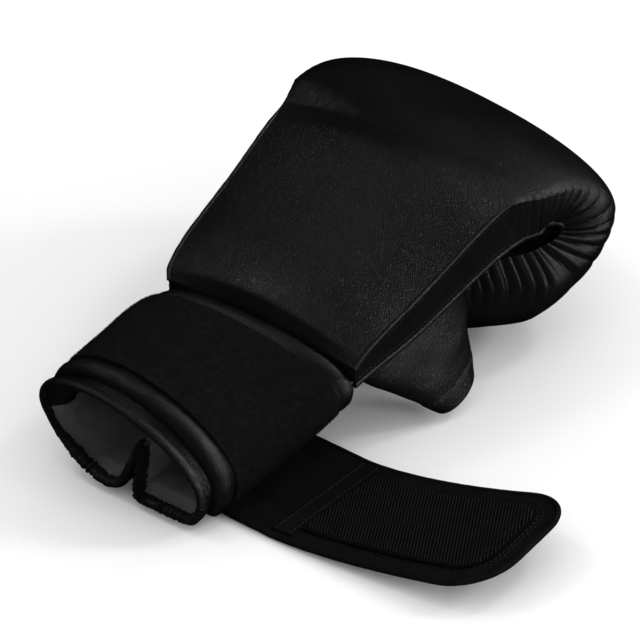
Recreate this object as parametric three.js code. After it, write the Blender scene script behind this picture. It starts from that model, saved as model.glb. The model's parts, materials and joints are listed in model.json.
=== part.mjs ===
// A left-hand padded bag glove, lying on its finger roll and its cuff with the back of the hand up.
// Millimetres, +Z up. The surface that it lies on is z = 0, and the fingers point along +Y.
import * as THREE from "three";

// Driving dimensions, glove body
const WRIST_WIDTH = 118; // back panel across the wrist seam
const THUMB_FLARE = 13; // how far the thumb side spreads from the wrist to the knuckles
const OUTER_FLARE = 28; // the same on the little finger side
const PALM_LENGTH = 135; // wrist seam to the start of the grip slot's round end
const SLOT_HEIGHT = 19; // grip slot between the palm and the finger roll
const ROLL_RETURN = 50; // from the slot's round end back to the tip of the roll
const SLOT_TURN = 186; // degrees through which the palm line turns round the slot's end
const PALM_RISE = 13; // upward bend of the palm line towards the knuckles
const RISE_START = 0.25; // share of the palm length where that bend begins
const SIDE_HEIGHT = 25; // side strip at its far end
const CROWN_HEIGHT = 13.5; // rise of the padded back above the ridge seams
const KNUCKLE_CROWN = 9; // the same above the start of the slot's round end
const FRONT_THICKNESS = 60; // from the slot's end to the front
const ROLL_THICKNESS = 59; // finger roll
const BACK_PADDING = 17; // foam over the back of the hand
const EDGE_PADDING = 8; // foam at the sides
const ROLL_SKEW = 0.13; // share by which the front is thicker on the little finger side
const PLEATS = 15; // gathers round each end of the roll
const PLEAT_DEPTH = 1.5;
const STRIP_REACH = 0.88; // share of the palm length that the side strips cover
const STRIP_FADE = 0.06; // share of the palm length over which the padding takes over from them
const LEATHER = 1.8; // leather with its backing
const SEAM_RADIUS = 1.6; // rolled edge of the palm seam
const PALM_SAG = 13; // how far the palm panel hangs down at the wrist
const GAP = 0.3; // between neighbouring pieces
const PANEL_CLEAR = 2.2; // from the palm panel's edge to the rolled seam

// Driving dimensions, thumb sleeve
const THUMB_START = 0.044; // share of the palm length where the thumb hole begins
const THUMB_END = 0.7;
const THUMB_HOLE = 15; // width of the thumb hole
const THUMB_WALL = 1.7;
const THUMB_HEM = 8; // folded hem at the sleeve's open end
const HEM_STEP = 0.5; // how far the hem stands proud
const THUMB_MOUTH = 30; // flattened width of the open end
const THUMB_GAPE = 15; // how far the open end stands open
const THUMB_DROP = 44; // how far the middle of the mouth hangs below the palm
const THUMB_OUT = 10; // how far it stands out to the side
const THUMB_ALONG = 15; // how far it leans towards the fingers
const MOUTH_LONG = new THREE.Vector3(-0.09, 0.95, 0.3).normalize(); // the way the mouth is wide
const MOUTH_WIDE = new THREE.Vector3(0.96, 0.09, 0).normalize(); // the way it gapes

// Driving dimensions, cuff
const CUFF_LENGTH = 84; // padded part, along the wrist
const RIM_LENGTH = 3.5; // inner sleeve past the padded part
const CUFF_INSET = 15; // the hollow is narrower than the wrist by this
const CUFF_WIDTH = WRIST_WIDTH - CUFF_INSET; // across the hollow
const CUFF_HEIGHT = 51; // hollow's height at the mouth
const CUFF_TILT = 14; // degrees that the mouth leans to the thumb side
const MOUTH_SLANT = 3; // how far the mouth's lowest point stands out past its middle
const WRIST_GAP = 0.8; // groove between the glove and the cuff
const CUFF_PADDING = 3.6;
const CUFF_ROLL = 1.8; // how far the rolled edges stand above the padding
const CUFF_ROLL_WIDTH = 11; // leather showing at each end of the padded part
const RIM_LEATHER = 1.6;
const LINING = 1.1;
const LOOP_PILE = 1.5; // loop fastener
const FOLD_DEPTH = 43; // inward fold of the palm gusset at the mouth
const FOLD_WIDTH = 20;
const BINDING_RADIUS = 2.3;

// Driving dimensions, strap
const STRAP_LENGTH = 205; // from its sewn root under the cuff to its tip
const STRAP_WIDTH = 71;
const STRAP_THICKNESS = 2.6;
const EDGE_RADIUS = 1.6; // bound edge
const STRAP_CORNER = 23; // rounding of the tip
const STRAP_LIFT = 24; // how high the tip's corner curls off the surface
const STRAP_TWIST = 0.2; // share of the lift that is added at one edge and taken off at the other
const STRAP_SWAY = 15; // how far the tip bends towards the fingers
const STRAP_TURN = THREE.MathUtils.degToRad(-1); // from straight across the wrist
const STRAP_ROOT = { x: -25, y: -33 };
const STRAP_MARGIN = 8; // edge to the fastener
const TAPE_START = 88; // from the root to the cross tape
const TAPE_WIDTH = 12;
const HOOK_PILE = 1.2; // hook fastener
const TAPE_THICKNESS = 0.9;
const FLOOR_CLEAR = 0.1; // bound edge above the surface
const TAPE_CLEAR = 0.5; // tape's far edge to the hook fastener

// How the glove lies
const PITCH = THREE.MathUtils.degToRad(5.8); // fingers raised
const LEAN = THREE.MathUtils.degToRad(2); // thumb side lowered
const WRIST_HEIGHT = 50.4; // palm line above the surface at the wrist

const leather = { color: 0x131313, roughness: 0.42, metalness: 0 };
const materials = {
  leather: new THREE.MeshStandardMaterial(leather),
  lining: new THREE.MeshStandardMaterial({ color: 0x4a4a4c, roughness: 0.5, metalness: 0 }),
  fabric: new THREE.MeshStandardMaterial({ color: 0x0b0b0b, roughness: 0.95, metalness: 0 }),
};

// Smooth interpolation of a table without overshoot: rows with a column "at" and any others.
function profile(rows) {
  const names = Object.keys(rows[0]).filter((name) => name !== "at");
  const rise = (k, name) => (rows[k + 1][name] - rows[k][name]) / (rows[k + 1].at - rows[k].at);
  const slope = (k, name) => {
    const [before, after] = [rise(Math.max(k - 1, 0), name), rise(Math.min(k, rows.length - 2), name)];
    return before * after > 0 ? 2 * before * after / (before + after) : 0;
  };
  return (at) => {
    const next = rows.findIndex((row) => row.at >= at);
    const k = THREE.MathUtils.clamp((next < 0 ? rows.length : next) - 1, 0, rows.length - 2);
    const span = rows[k + 1].at - rows[k].at;
    const t = THREE.MathUtils.clamp((at - rows[k].at) / span, 0, 1);
    return Object.fromEntries(names.map((name) => [name,
      rows[k][name] * (1 + 2 * t) * (1 - t) ** 2 + rows[k + 1][name] * t * t * (3 - 2 * t)
      + span * t * (1 - t) * (slope(k, name) * (1 - t) - slope(k + 1, name) * t)]));
  };
}

const mix = THREE.MathUtils.lerp;
const ease = THREE.MathUtils.smoothstep;
const steps = (count, from = 0, to = 1) =>
  Array.from({ length: count + 1 }, (_, k) => mix(from, to, k / count));

// A closed solid between two grids of points with rows and columns alike. A grid that closes on
// itself has no end faces in that direction.
function slab(outer, inner, { ring = false, loop = false } = {}) {
  const rows = outer.length;
  const columns = outer[0].length;
  const points = [...outer.flat(), ...inner.flat()];
  const half = rows * columns;
  const index = [];
  const at = (layer, i, j) => layer * half + (i % rows) * columns + (j % columns);
  const quad = (a, b, c, d) => index.push(a, b, c, a, c, d);
  const lastRow = loop ? rows : rows - 1;
  const lastColumn = ring ? columns : columns - 1;
  for (let i = 0; i < lastRow; i++) {
    for (let j = 0; j < lastColumn; j++) {
      quad(at(0, i, j), at(0, i, j + 1), at(0, i + 1, j + 1), at(0, i + 1, j));
      quad(at(1, i, j), at(1, i + 1, j), at(1, i + 1, j + 1), at(1, i, j + 1));
    }
  }
  if (!loop) {
    for (let j = 0; j < lastColumn; j++) {
      quad(at(0, 0, j), at(1, 0, j), at(1, 0, j + 1), at(0, 0, j + 1));
      quad(at(0, rows - 1, j), at(0, rows - 1, j + 1), at(1, rows - 1, j + 1), at(1, rows - 1, j));
    }
  }
  if (!ring) {
    for (let i = 0; i < lastRow; i++) {
      quad(at(0, i, 0), at(0, i + 1, 0), at(1, i + 1, 0), at(1, i, 0));
      const last = columns - 1;
      quad(at(0, i, last), at(1, i, last), at(1, i + 1, last), at(0, i + 1, last));
    }
  }
  return solid(points, index);
}

const CORD_SIDES = 8;

// A round cord through a run of centres. The direction given lies across it everywhere.
function cord(centres, radius, across, closed = false) {
  const count = centres.length;
  const points = centres.flatMap((centre, k) => {
    const before = centres[closed ? (k + count - 1) % count : Math.max(k - 1, 0)];
    const after = centres[closed ? (k + 1) % count : Math.min(k + 1, count - 1)];
    const along = after.clone().sub(before).normalize();
    const side = along.clone().cross(across).normalize();
    const top = side.clone().cross(along);
    return steps(CORD_SIDES).slice(1).map((turn) => centre.clone()
      .addScaledVector(side, radius * Math.cos(2 * Math.PI * turn))
      .addScaledVector(top, radius * Math.sin(2 * Math.PI * turn)));
  });
  const index = [];
  const at = (k, j) => (k % count) * CORD_SIDES + (j % CORD_SIDES);
  for (let k = 0; k < (closed ? count : count - 1); k++) {
    for (let j = 0; j < CORD_SIDES; j++) {
      index.push(at(k, j), at(k, j + 1), at(k + 1, j + 1), at(k, j), at(k + 1, j + 1), at(k + 1, j));
    }
  }
  for (let j = 1; !closed && j < CORD_SIDES - 1; j++) {
    index.push(at(0, 0), at(0, j + 1), at(0, j), at(count - 1, 0), at(count - 1, j), at(count - 1, j + 1));
  }
  return solid(points, index);
}

// An indexed geometry with its faces turned outwards.
function solid(points, index) {
  let volume = 0;
  for (let k = 0; k < index.length; k += 3) {
    const [a, b, c] = [points[index[k]], points[index[k + 1]], points[index[k + 2]]];
    volume += a.dot(b.clone().cross(c));
  }
  if (volume < 0) {
    index.reverse();
  }
  const geometry = new THREE.BufferGeometry().setFromPoints(points);
  geometry.setIndex(index);
  geometry.computeVertexNormals();
  return geometry;
}

const glove = new THREE.Group();
glove.rotation.set(PITCH, LEAN, 0);
glove.position.z = WRIST_HEIGHT;
glove.updateMatrixWorld(true);
const worldUp = new THREE.Vector3(0, 0, 1).applyQuaternion(glove.quaternion.clone().invert());

// Lifts a point of the glove that would lie lower than a height above the surface: soft parts go
// flat there.
function settle(point, height) {
  const above = point.dot(worldUp) + WRIST_HEIGHT - height;
  return above < 0 ? point.addScaledVector(worldUp, -above) : point;
}

// The palm line, seen from the side: along the palm (0 to 1), round the slot's end (1 to 2) and back
// along the roll to its tip (2 to 3). Gives the point and the direction towards the padding.
function palmLine(u) {
  const radius = SLOT_HEIGHT / 2;
  const turn = THREE.MathUtils.degToRad(SLOT_TURN) * THREE.MathUtils.clamp(u - 1, 0, 1);
  const back = Math.max(u - 2, 0) * ROLL_RETURN;
  return {
    y: PALM_LENGTH * Math.min(u, 1) + radius * Math.sin(turn) + back * Math.cos(turn),
    z: PALM_RISE * ease(u, RISE_START, 1) + radius * (Math.cos(turn) - 1) - back * Math.sin(turn),
    ny: Math.sin(turn),
    nz: Math.cos(turn),
  };
}

function alongPalm(u, x, height) {
  const line = palmLine(u);
  return new THREE.Vector3(x, line.y + height * line.ny, line.z + height * line.nz);
}

// Outline of the body along the palm line. thumb and outer are shares of the two flares, taper is a
// share of the whole width, wall and crown are shares of the heights that follow, soft turns the
// ridge into a rolled edge and gather is a share of the pleats' depth.
const bodyTable = profile([
  { at: 0, thumb: 0, outer: 0, taper: 1, wall: 0.36, crown: 0.42, soft: 0, gather: 0 },
  { at: 0.038, thumb: 0, outer: 0.14, taper: 1, wall: 0.47, crown: 0.8, soft: 0, gather: 0 },
  { at: 0.27, thumb: 0.06, outer: 0.38, taper: 1, wall: 0.74, crown: 1, soft: 0, gather: 0 },
  { at: 0.55, thumb: 0.2, outer: 0.52, taper: 1, wall: 0.9, crown: 1, soft: 0, gather: 0 },
  { at: 0.8, thumb: 0.4, outer: 0.66, taper: 1, wall: 1, crown: 1, soft: 0, gather: 0 },
  { at: 0.88, thumb: 0.52, outer: 0.74, taper: 1, wall: 1, crown: 1, soft: 0, gather: 0 },
  { at: 0.95, thumb: 0.72, outer: 0.82, taper: 1, wall: 0.98, crown: 1, soft: 0.7, gather: 0.6 },
  { at: 1, thumb: 1, outer: 0.9, taper: 1, wall: 0.95, crown: 1, soft: 1, gather: 1 },
  { at: 1.25, thumb: 1.55, outer: 0.98, taper: 1, wall: 0.86, crown: 0.98, soft: 1, gather: 1 },
  { at: 1.5, thumb: 2.3, outer: 0.95, taper: 1, wall: 0.8, crown: 1.2, soft: 1, gather: 1 },
  { at: 2, thumb: 1.6, outer: 0.85, taper: 1, wall: 0.5, crown: 1.5, soft: 1, gather: 1 },
  { at: 2.4, thumb: 0.6, outer: 0.5, taper: 0.95, wall: 0.42, crown: 1.48, soft: 1, gather: 1 },
  { at: 2.75, thumb: 0, outer: 0.2, taper: 0.87, wall: 0.3, crown: 1.24, soft: 1, gather: 0.7 },
  { at: 2.93, thumb: 0, outer: 0, taper: 0.8, wall: 0.2, crown: 0.62, soft: 1, gather: 0.3 },
  { at: 3, thumb: 0, outer: 0, taper: 0.74, wall: 0.1, crown: 0.14, soft: 1, gather: 0 },
]);

// The two heights that the table's wall and crown are shares of.
const bodyHeights = profile([
  { at: 0.8, wall: SIDE_HEIGHT, crown: CROWN_HEIGHT },
  { at: 1, wall: SIDE_HEIGHT, crown: KNUCKLE_CROWN },
  { at: 1.5, wall: FRONT_THICKNESS / 2, crown: FRONT_THICKNESS / 2 },
  { at: 1.85, wall: ROLL_THICKNESS / 2, crown: ROLL_THICKNESS / 2 },
]);

// Both side faces of the body at one place along the palm line.
function sides(u) {
  const row = bodyTable(u);
  const heights = bodyHeights(u);
  const thumb = (WRIST_WIDTH / 2 + THUMB_FLARE * row.thumb) * row.taper;
  const outer = (WRIST_WIDTH / 2 + OUTER_FLARE * row.outer) * row.taper;
  const strip = 1 - ease(u, STRIP_REACH, STRIP_REACH + STRIP_FADE);
  const [wall, crown] = [row.wall * heights.wall, row.crown * heights.crown];
  return { ...row, wall, crown, strip, middle: (thumb - outer) / 2, half: (thumb + outer) / 2 };
}

const SEAM_CLEAR = 0.2; // the padding stops this far above the palm seam
const DOME_FULLNESS = 0.88; // 1 is round, less is squarer
const SEAM_INSET = 1.2; // seam's middle line in from the side face
const SEAM_TUCK = 5; // how far the gathered edge is drawn in under the roll's side
const RIDGE_STEP = 0.01; // keeps the ridge's two rows of points apart
const LEAST_CAVITY = 0.35; // of the thickness, where the padding is thinner than on the back
const ROLL_TIP = 3; // end of the palm line
const TIP_MARGIN = 0.03; // of the palm line, left free at its ends
const wallShares = [0, 0.5, 1];
const domeShares = [0, 0.14, 0.34, 0.56, 0.78, 1];

// Half of the body's outline, from the seam up the side and over the dome to the middle line.
// Each entry: how far out (share of the half width, plus an offset) and how high.
function halfOutline(section, wave) {
  const inset = (LEATHER + GAP) * section.strip;
  const tuck = SEAM_TUCK * section.soft;
  const outline = wallShares.map((share) => ({
    out: section.half - inset - tuck * (1 - share) ** 2 + wave * (1 - 0.5 * share),
    up: mix(SEAM_CLEAR, section.wall, share),
  }));
  for (const share of domeShares) {
    const angle = share * Math.PI / 2;
    const rise = mix(Math.sin(angle) ** 2, Math.sin(angle) ** DOME_FULLNESS, section.soft);
    const fade = Math.max(0.5 - 1.6 * share, 0);
    outline.push({
      out: section.half * Math.cos(angle) ** mix(1, DOME_FULLNESS, section.soft) + wave * fade,
      up: section.wall + RIDGE_STEP + section.crown * rise + wave * fade * 0.5,
    });
  }
  return outline;
}

const pleatShare = (u) => (u - STRIP_REACH) / (ROLL_TIP - STRIP_REACH);

function bodyRing(u, thick) {
  const section = sides(u);
  const phase = pleatShare(u) * PLEATS * 2 * Math.PI;
  const wave = section.gather * PLEAT_DEPTH * Math.cos(phase);
  const outline = halfOutline(section, thick ? wave : 0);
  const height = section.wall + section.crown;
  const cavity = Math.max(height - BACK_PADDING, LEAST_CAVITY * height, 1) / height;
  const narrow = (section.half - EDGE_PADDING) / section.half;
  const shape = thick ? outline : outline.map(({ out, up }) => ({
    out: Math.min(out, section.half) * narrow,
    up: Math.max(up * cavity, SEAM_CLEAR),
  }));
  const lean = ROLL_SKEW * section.soft / section.half;
  const half = (side) => shape.map(({ out, up }) =>
    alongPalm(u, section.middle + side * out, up * (1 - side * lean * out)));
  const ring = [...half(1), ...half(-1).slice(0, -1).reverse()];
  return thick ? ring.map((point) => settle(point, 0)) : ring;
}

const flatStations = [0, 0.012, 0.035, 0.12, 0.24, 0.38, 0.52, 0.66, 0.77, STRIP_REACH];
const bodyStations = [
  ...flatStations,
  ...steps(PLEATS * 3, STRIP_REACH + TIP_MARGIN, ROLL_TIP - TIP_MARGIN),
  ROLL_TIP,
];

function backPad() {
  return slab(bodyStations.map((u) => bodyRing(u, true)), bodyStations.map((u) => bodyRing(u, false)));
}

// Flat leather strip over one side of the padding, from the palm seam up to the ridge.
function sideStrip(side) {
  const face = (depth) => flatStations.map((u) => {
    const section = sides(u);
    const out = section.half - depth;
    return [0, 0.5, 1].map((share) => {
      const up = mix(SEAM_CLEAR, section.wall - GAP, share);
      return alongPalm(u, section.middle + side * out, up);
    });
  });
  return slab(face(0), face(LEATHER));
}

const palmStations = [
  0.004,
  ...steps(10, 0.08, 1 - TIP_MARGIN),
  ...steps(9, 1, 2),
  ...steps(5, 2.15, ROLL_TIP - TIP_MARGIN),
];

// Rolled edge of the palm seam, all round the slot.
function palmSeam(side) {
  const centres = palmStations.map((u) => {
    const section = sides(u);
    const out = section.half - SEAM_INSET - SEAM_TUCK * section.soft;
    return alongPalm(u, section.middle + side * out, -SEAM_RADIUS - GAP);
  });
  return cord(centres, SEAM_RADIUS, new THREE.Vector3(1, 0, 0));
}

const thumbBump = (u) => {
  const share = (u - THUMB_START) / (THUMB_END - THUMB_START);
  return share > 0 && share < 1 ? Math.sqrt(Math.sin(Math.PI * share)) : 0;
};

// How far the palm panel sags at a place along it, for a share of the way out to its edge.
const palmSag = (u, reach) => PALM_SAG * (1 - ease(u, 0, 0.6)) * (1 - reach ** 2) ** 2;

function palmPanel() {
  const face = (depth) => palmStations.map((u) => {
    const section = sides(u);
    const edge = section.half - SEAM_INSET - SEAM_RADIUS - PANEL_CLEAR - SEAM_TUCK * section.soft;
    return steps(8, -1, 1).map((reach) => {
      const room = reach > 0 ? edge - THUMB_HOLE * thumbBump(u) : edge;
      return alongPalm(u, section.middle + reach * room, -GAP - depth - palmSag(u, reach * room / edge));
    });
  });
  return slab(face(0), face(LEATHER));
}

const THUMB_SIDES = 20;
const THUMB_CLEAR = 0.2; // sleeve's lowest edge above the surface

// A ring of the thumb sleeve, from the thumb hole (0) to the open end (1), drawn in by a wall.
function thumbRing(share, depth) {
  const start = THUMB_START * PALM_LENGTH;
  const end = THUMB_END * PALM_LENGTH;
  const middle = sides((THUMB_START + THUMB_END) / 2);
  const holeWide = THUMB_HOLE / 2 + THUMB_WALL;
  const edge = middle.middle + middle.half - SEAM_RADIUS;
  const top = -2 * SEAM_RADIUS - 2 * GAP;
  const root = new THREE.Vector3(edge - holeWide, (start + end) / 2, top);
  const mouth = new THREE.Vector3(edge + THUMB_OUT, (start + end) / 2 + THUMB_ALONG, -THUMB_DROP);
  const hem = share > 1 - THUMB_HEM / THUMB_DROP ? HEM_STEP : 0;
  const grow = depth > 0 ? -depth : hem;
  return steps(THUMB_SIDES).slice(0, -1).map((turn) => {
    const [along, across] = [Math.sin(2 * Math.PI * turn), Math.cos(2 * Math.PI * turn)];
    const from = root.clone();
    from.x += across * (holeWide + grow);
    from.y += along * ((end - start) / 2 + grow);
    const here = sides(from.y / PALM_LENGTH);
    from.x += here.middle + here.half - middle.middle - middle.half;
    const sag = palmSag(from.y / PALM_LENGTH, (from.x - here.middle) / here.half);
    from.z = Math.min(from.z, -3 * GAP - LEATHER - sag);
    const to = mouth.clone()
      .addScaledVector(MOUTH_LONG, along * (THUMB_MOUTH / 2 + grow))
      .addScaledVector(MOUTH_WIDE, across * (THUMB_GAPE / 2 + grow));
    return settle(from.lerp(to, share), THUMB_CLEAR + depth);
  });
}

function thumbSleeve() {
  const stations = [0, 0.15, 0.35, 0.55, 0.72, 0.8, 0.84, 1];
  return slab(
    stations.map((share) => thumbRing(share, 0)),
    stations.map((share) => thumbRing(share, THUMB_WALL)),
    { ring: true },
  );
}

// Cuff. Its sections are ovals with an inward fold at the bottom, drawn round the hollow. at is a
// share of the padded length, shift and sink move the section's middle from the palm line's end.
const cuffSection = profile([
  { at: 0, shift: 0.01, sink: 0.06, wide: 1.05, up: 0.46, down: 0.5, tilt: 0, fold: 0.15 },
  { at: 0.2, shift: -0.08, sink: 0.1, wide: 1.08, up: 0.6, down: 0.62, tilt: 0.2, fold: 0.35 },
  { at: 0.6, shift: -0.15, sink: 0.2, wide: 1, up: 0.85, down: 0.85, tilt: 0.65, fold: 0.7 },
  { at: 0.97, shift: -0.21, sink: 0.28, wide: 0.95, up: 1.04, down: 0.96, tilt: 1, fold: 0.95 },
  { at: 1.06, shift: -0.26, sink: 0.29, wide: 1.01, up: 1.05, down: 0.97, tilt: 1, fold: 1 },
]);

const ARC_STEPS = 18; // round the cuff, from one foot of the fold to the other
const LEG_STEPS = 4; // down each leg of the fold
const FOLD_SHIFT = 0.12; // fold's place, as a share of the half width

// Rounds a closed outline: each point goes halfway to the middle of its two neighbours.
function soften(outline) {
  return outline.map((point, k) => {
    const before = outline[(k + outline.length - 1) % outline.length];
    const after = outline[(k + 1) % outline.length];
    return point.clone().lerp(before.clone().lerp(after, 0.5), 0.5);
  });
}

// The hollow's outline at one place along the cuff, in its own plane: from the fold's top down the
// thumb-side leg, round over the back and up the other leg.
function cuffOutline(at) {
  const row = cuffSection(at);
  const half = CUFF_WIDTH / 2 * row.wide;
  const [up, down] = [CUFF_HEIGHT / 2 * row.up, CUFF_HEIGHT / 2 * row.down];
  const foldWide = FOLD_WIDTH / 2 * row.fold ** 0.5;
  const place = (angle) => new THREE.Vector2(
    half * Math.cos(angle), (Math.sin(angle) > 0 ? up : down) * Math.sin(angle));
  const foot = (side) => -Math.PI / 2 + FOLD_SHIFT + side * Math.asin(foldWide / half);
  const top = place(foot(0)).add(new THREE.Vector2(0, FOLD_DEPTH * row.fold));
  const leg = (side) => steps(LEG_STEPS).slice(1, -1)
    .map((share) => top.clone().lerp(place(foot(side)), share));
  const arc = steps(ARC_STEPS, foot(1), foot(-1) + 2 * Math.PI).map(place);
  const outline = soften([top, ...leg(1), ...arc, ...leg(-1).reverse()]);
  const tilt = -THREE.MathUtils.degToRad(CUFF_TILT) * row.tilt;
  const middle = new THREE.Vector2(CUFF_WIDTH / 2 * row.shift, -CUFF_HEIGHT * row.sink);
  return outline.map((point) => point.rotateAround(new THREE.Vector2(), tilt).add(middle));
}

// Moves a closed outline outwards by a distance, square to its sides.
function outset(outline, distance) {
  return outline.map((point, k) => {
    const before = outline[(k + outline.length - 1) % outline.length];
    const after = outline[(k + 1) % outline.length];
    const [a, b] = [point.clone().sub(before).normalize(), after.clone().sub(point).normalize()];
    const normal = new THREE.Vector2(a.y + b.y, -a.x - b.x).normalize();
    const square = Math.max(normal.dot(new THREE.Vector2(a.y, -a.x)), 0.5);
    return point.clone().addScaledVector(normal, distance / square);
  });
}

const RIM_OUT = GAP + RIM_LEATHER;
const PAD_IN = RIM_OUT + GAP;
const PAD_OUT = PAD_IN + CUFF_PADDING + CUFF_ROLL;
const STRAP_TOP = 2 * EDGE_RADIUS + GAP;
const SLANT_POWER = 3; // how late along the cuff its slant sets in
const RIM_FADE = 1.1; // place along the cuff where the layers lie on the surface, past the strap

// A ring of the cuff at a distance outside the hollow. Layers go flat one above the other where the
// cuff lies on the strap.
function cuffRing(at, distance) {
  const y = -WRIST_GAP - at * CUFF_LENGTH;
  const [onStrap, onFloor] = [STRAP_TOP + PAD_OUT - distance, BINDING_RADIUS + RIM_OUT - distance];
  const height = mix(onStrap, onFloor, ease(at, 1, RIM_FADE));
  const middle = -CUFF_HEIGHT * cuffSection(at).sink;
  return outset(cuffOutline(at), distance).map((point) => {
    const low = Math.max(middle - point.y, 0) / (CUFF_HEIGHT / 2);
    return settle(new THREE.Vector3(point.x, y - MOUTH_SLANT * low * at ** SLANT_POWER, point.y), height);
  });
}

const rollShare = CUFF_ROLL_WIDTH / CUFF_LENGTH;
const padEnds = [
  { at: 0, thick: 0.4 },
  { at: 0.16 * rollShare, thick: 0.85 },
  { at: 0.5 * rollShare, thick: 1 },
  { at: rollShare, thick: 0 },
];
const padStations = [
  ...padEnds,
  ...[0.3, 0.5, 0.7].map((at) => ({ at, thick: 0 })),
  ...padEnds.map(({ at, thick }) => ({ at: 1 - at, thick })).reverse(),
];
const flatPad = padStations.filter(({ thick }) => thick === 0).map(({ at }) => at);
const rimEnd = 1 + RIM_LENGTH / CUFF_LENGTH;
const rimStations = [...padStations.map(({ at }) => at), rimEnd];
const firstArc = LEG_STEPS; // column of the thumb-side foot
const lastArc = LEG_STEPS + ARC_STEPS;
const patchEnds = { thumb: 3, outer: 2 }; // columns from the two feet to the loop fastener
const FOOT_CLEAR = 0.2; // share of a column left between the gusset and the rim

function cuffPad() {
  const layer = (outside) => padStations.map(({ at, thick }) => {
    const swell = at === 0 || at === 1 ? thick * CUFF_PADDING : CUFF_PADDING + thick * CUFF_ROLL;
    return cuffRing(at, PAD_IN + (outside ? swell : 0)).slice(firstArc, lastArc + 1);
  });
  return slab(layer(true), layer(false));
}

function loopPatch() {
  const low = PAD_IN + CUFF_PADDING + GAP;
  const span = [firstArc + patchEnds.thumb, lastArc - patchEnds.outer];
  const layer = (distance) => flatPad.map((at) => cuffRing(at, distance).slice(...span));
  return slab(layer(low + LOOP_PILE), layer(low));
}

function cuffRim() {
  const layer = (distance) => rimStations.map((at) => cuffRing(at, distance).slice(firstArc, lastArc + 1));
  return slab(layer(RIM_OUT), layer(GAP));
}

function palmGusset() {
  const layer = (distance) => rimStations.map((at) => {
    const ring = cuffRing(at, distance);
    const foot = (column, next) => ring[column].clone().lerp(ring[next], FOOT_CLEAR);
    const legs = [...ring.slice(lastArc + 1), ...ring.slice(0, firstArc)];
    return [foot(lastArc, lastArc + 1), ...legs, foot(firstArc, firstArc - 1)];
  });
  return slab(layer(RIM_OUT), layer(GAP));
}

function cuffLining() {
  const layer = (distance) => rimStations.map((at) => cuffRing(at, distance));
  return slab(layer(0), layer(-LINING), { ring: true });
}

function cuffBinding() {
  const at = 1 + (RIM_LENGTH + GAP + BINDING_RADIUS) / CUFF_LENGTH;
  const ring = cuffRing(at, (RIM_OUT - LINING) / 2);
  return cord(ring, BINDING_RADIUS, new THREE.Vector3(0, 1, 0), true);
}

const CURL_POWER = 1.5; // how late along the strap its curl and sway set in

// Strap, in its own frame: along from the root, across, and up from the surface. Past the cross tape
// it bends aside and its free end curls up, more on the side towards the fingers.
function strapMiddle(along, across) {
  const share = Math.max(along - TAPE_START, 0) / (STRAP_LENGTH - TAPE_START);
  const curl = share ** CURL_POWER;
  const raise = STRAP_LIFT * (1 - STRAP_TWIST + STRAP_TWIST * across / (STRAP_WIDTH / 2));
  return new THREE.Vector3(along, across + STRAP_SWAY * curl, raise * curl);
}

function strapPoint(along, across, up) {
  const point = strapMiddle(along, across);
  const forward = strapMiddle(along + 1, across).sub(point);
  const sideways = strapMiddle(along, across + 1).sub(point);
  return point.addScaledVector(forward.cross(sideways).normalize(), up);
}

// Half the strap's width at a place along it, with a margin taken off all round.
function strapHalf(along, margin) {
  const [half, corner] = [STRAP_WIDTH / 2 - margin, STRAP_CORNER - margin];
  const past = THREE.MathUtils.clamp(along - (STRAP_LENGTH - margin - corner), 0, corner);
  return half - corner + Math.sqrt(corner ** 2 - past ** 2);
}

const CORNER_STEPS = 5;
const TAPE_END = TAPE_START + TAPE_WIDTH;
const strapBends = [TAPE_START, TAPE_END, ...steps(4, TAPE_END, STRAP_LENGTH - STRAP_CORNER).slice(1, -1)];

function strapSheet(from, margin, low, high) {
  const end = STRAP_LENGTH - margin;
  const corner = STRAP_CORNER - margin;
  const bends = strapBends.filter((along) => along > from + 1);
  const round = steps(CORNER_STEPS, 0, Math.PI / 2).slice(1)
    .map((angle) => end - corner + corner * Math.sin(angle));
  const stations = [from, ...bends, end - corner, ...round];
  const layer = (up) => stations.map((along) => steps(3, -1, 1).map((side) =>
    strapPoint(along, side * strapHalf(along, margin), up)));
  return slab(layer(high), layer(low));
}

function strapBinding() {
  const [out, corner] = [1.5 * GAP + EDGE_RADIUS, STRAP_CORNER];
  const half = STRAP_WIDTH / 2;
  const side = [0, ...strapBends].map((along) => [along, half + out]);
  const round = steps(CORNER_STEPS, Math.PI / 2, 0).map((angle) => [
    STRAP_LENGTH - corner + (corner + out) * Math.cos(angle),
    half - corner + (corner + out) * Math.sin(angle),
  ]);
  const outline = [...side, ...round];
  const centres = [...outline, ...outline.map(([along, across]) => [along, -across]).reverse()]
    .map(([along, across]) => strapPoint(along, across, EDGE_RADIUS + FLOOR_CLEAR));
  return cord(centres, EDGE_RADIUS, new THREE.Vector3(0, 0, 1));
}

function strapTape() {
  const half = STRAP_WIDTH / 2 - 1;
  const layer = (up) => [TAPE_START, TAPE_END - TAPE_CLEAR].map((along) =>
    [-half, half].map((across) => strapPoint(along, across, up)));
  const low = STRAP_THICKNESS + GAP;
  return slab(layer(low + TAPE_THICKNESS), layer(low));
}

function piece(name, geometry, material) {
  const mesh = new THREE.Mesh(geometry, material.clone());
  mesh.name = name;
  return mesh;
}

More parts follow.
